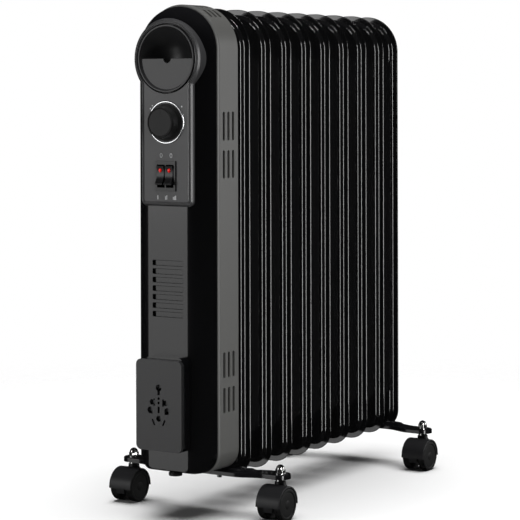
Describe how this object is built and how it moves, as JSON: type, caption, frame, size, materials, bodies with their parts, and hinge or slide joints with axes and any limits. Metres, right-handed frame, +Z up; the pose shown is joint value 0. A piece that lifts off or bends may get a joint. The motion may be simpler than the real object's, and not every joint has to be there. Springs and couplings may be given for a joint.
{
  "type": "oil filled radiator heater",
  "caption": "Upright oil filled radiator with pressed steel fins, a thermostat box with rocker switches and carry pocket, and cross feet on twin-wheel casters.",
  "frame": {"origin": "on the floor, under the centre of the heater's bounding box", "axes": "+X across the width, +Y along the length from the control box to the last fin (the controls face -Y), +Z up"},
  "size_m": [0.258, 0.55, 0.6399],
  "materials": {
    "fin_enamel": "high gloss black powder enamel",
    "gloss_black": "gloss black moulded plastic with a satin front",
    "satin_grey": "satin dark grey painted steel",
    "panel_black": "satin charcoal moulded plastic",
    "switch_black": "semi matt black nylon",
    "knob_black": "satin black knob",
    "ring_silver": "bright silver dial ring",
    "lens_red": "translucent red indicator lens",
    "bracket_black": "gloss black painted steel",
    "chrome_steel": "bright plated steel",
    "zinc_steel": "zinc plated steel",
    "caster_black": "matt black nylon",
    "wheel_grey": "matt dark grey nylon",
    "ceramic": "matt cream ceramic",
    "bakelite": "brown phenolic",
    "element_copper": "dull copper sheath"
  },
  "bodies": {
    "body": {"fin_1": "fin_enamel", "fin_2": "fin_enamel", "fin_3": "fin_enamel", "fin_4": "fin_enamel", "fin_5": "fin_enamel", "fin_6": "fin_enamel", "fin_7": "fin_enamel", "fin_8": "fin_enamel", "fin_9": "fin_enamel", "hub_collars_top": "fin_enamel", "hub_collars_bottom": "fin_enamel", "hub_plugs": "fin_enamel", "oil_filler_plug": "fin_enamel", "heating_element": "element_copper", "element_flange": "zinc_steel", "front_cover": "gloss_black", "shroud": "satin_grey", "back_plate": "zinc_steel", "control_panel": "panel_black", "handle_pocket": "panel_black", "handle_screw": "chrome_steel", "knob_ring": "ring_silver", "thermostat_body": "ceramic", "switch_frame": "switch_black", "thermal_cutout": "bakelite", "terminal_block": "ceramic", "cord_gland": "switch_black", "wrap_plate": "panel_black", "wrap_neck": "gloss_black", "cover_screws": "zinc_steel", "front_bracket": "bracket_black", "rear_bracket": "bracket_black", "u_bolts": "zinc_steel", "u_bolt_nuts": "zinc_steel", "acorn_nuts": "chrome_steel", "washers": "zinc_steel", "caster_stems": "chrome_steel"},
    "knob": {"thermostat_knob": "knob_black", "thermostat_shaft": "zinc_steel"},
    "left_rocker": {"rocker_left": "switch_black", "lens_left": "lens_red"},
    "right_rocker": {"rocker_right": "switch_black", "lens_right": "lens_red"},
    "caster_fl": {"hood_fl": "caster_black", "axle_fl": "zinc_steel"},
    "inner_wheel_fl": {"wheel_fl_inner": "wheel_grey"},
    "outer_wheel_fl": {"wheel_fl_outer": "wheel_grey"},
    "caster_fr": {"hood_fr": "caster_black", "axle_fr": "zinc_steel"},
    "inner_wheel_fr": {"wheel_fr_inner": "wheel_grey"},
    "outer_wheel_fr": {"wheel_fr_outer": "wheel_grey"},
    "caster_rl": {"hood_rl": "caster_black", "axle_rl": "zinc_steel"},
    "inner_wheel_rl": {"wheel_rl_inner": "wheel_grey"},
    "outer_wheel_rl": {"wheel_rl_outer": "wheel_grey"},
    "caster_rr": {"hood_rr": "caster_black", "axle_rr": "zinc_steel"},
    "inner_wheel_rr": {"wheel_rr_inner": "wheel_grey"},
    "outer_wheel_rr": {"wheel_rr_outer": "wheel_grey"}
  },
  "joints": [
    {"name": "knob_turn", "type": "hinge", "parent": "body", "child": "knob", "pos_m": [0, -0.2575, 0.493], "axis": [0, 1, 0], "range_deg": [0, 290]},
    {"name": "left_rocker_press", "type": "hinge", "parent": "body", "child": "left_rocker", "pos_m": [-0.0066, -0.2551, 0.4265], "axis": [1, 0, 0], "range_deg": [0, 18]},
    {"name": "right_rocker_press", "type": "hinge", "parent": "body", "child": "right_rocker", "pos_m": [0.0066, -0.2551, 0.4265], "axis": [1, 0, 0], "range_deg": [0, 18]},
    {"name": "swivel_fl", "type": "hinge", "parent": "body", "child": "caster_fl", "pos_m": [-0.112, -0.1715, 0.0465], "axis": [0, 0, 1], "continuous": true},
    {"name": "roll_fl_inner", "type": "hinge", "parent": "caster_fl", "child": "inner_wheel_fl", "pos_m": [-0.10025, -0.1805, 0.02], "axis": [1, 0, 0], "continuous": true},
    {"name": "roll_fl_outer", "type": "hinge", "parent": "caster_fl", "child": "outer_wheel_fl", "pos_m": [-0.12375, -0.1805, 0.02], "axis": [1, 0, 0], "continuous": true},
    {"name": "swivel_fr", "type": "hinge", "parent": "body", "child": "caster_fr", "pos_m": [0.112, -0.1715, 0.0465], "axis": [0, 0, 1], "continuous": true},
    {"name": "roll_fr_inner", "type": "hinge", "parent": "caster_fr", "child": "inner_wheel_fr", "pos_m": [0.10025, -0.1805, 0.02], "axis": [1, 0, 0], "continuous": true},
    {"name": "roll_fr_outer", "type": "hinge", "parent": "caster_fr", "child": "outer_wheel_fr", "pos_m": [0.12375, -0.1805, 0.02], "axis": [1, 0, 0], "continuous": true},
    {"name": "swivel_rl", "type": "hinge", "parent": "body", "child": "caster_rl", "pos_m": [-0.112, 0.2105, 0.0465], "axis": [0, 0, 1], "continuous": true},
    {"name": "roll_rl_inner", "type": "hinge", "parent": "caster_rl", "child": "inner_wheel_rl", "pos_m": [-0.10025, 0.2015, 0.02], "axis": [1, 0, 0], "continuous": true},
    {"name": "roll_rl_outer", "type": "hinge", "parent": "caster_rl", "child": "outer_wheel_rl", "pos_m": [-0.12375, 0.2015, 0.02], "axis": [1, 0, 0], "continuous": true},
    {"name": "swivel_rr", "type": "hinge", "parent": "body", "child": "caster_rr", "pos_m": [0.112, 0.2105, 0.0465], "axis": [0, 0, 1], "continuous": true},
    {"name": "roll_rr_inner", "type": "hinge", "parent": "caster_rr", "child": "inner_wheel_rr", "pos_m": [0.10025, 0.2015, 0.02], "axis": [1, 0, 0], "continuous": true},
    {"name": "roll_rr_outer", "type": "hinge", "parent": "caster_rr", "child": "outer_wheel_rr", "pos_m": [0.12375, 0.2015, 0.02], "axis": [1, 0, 0], "continuous": true}
  ]
}
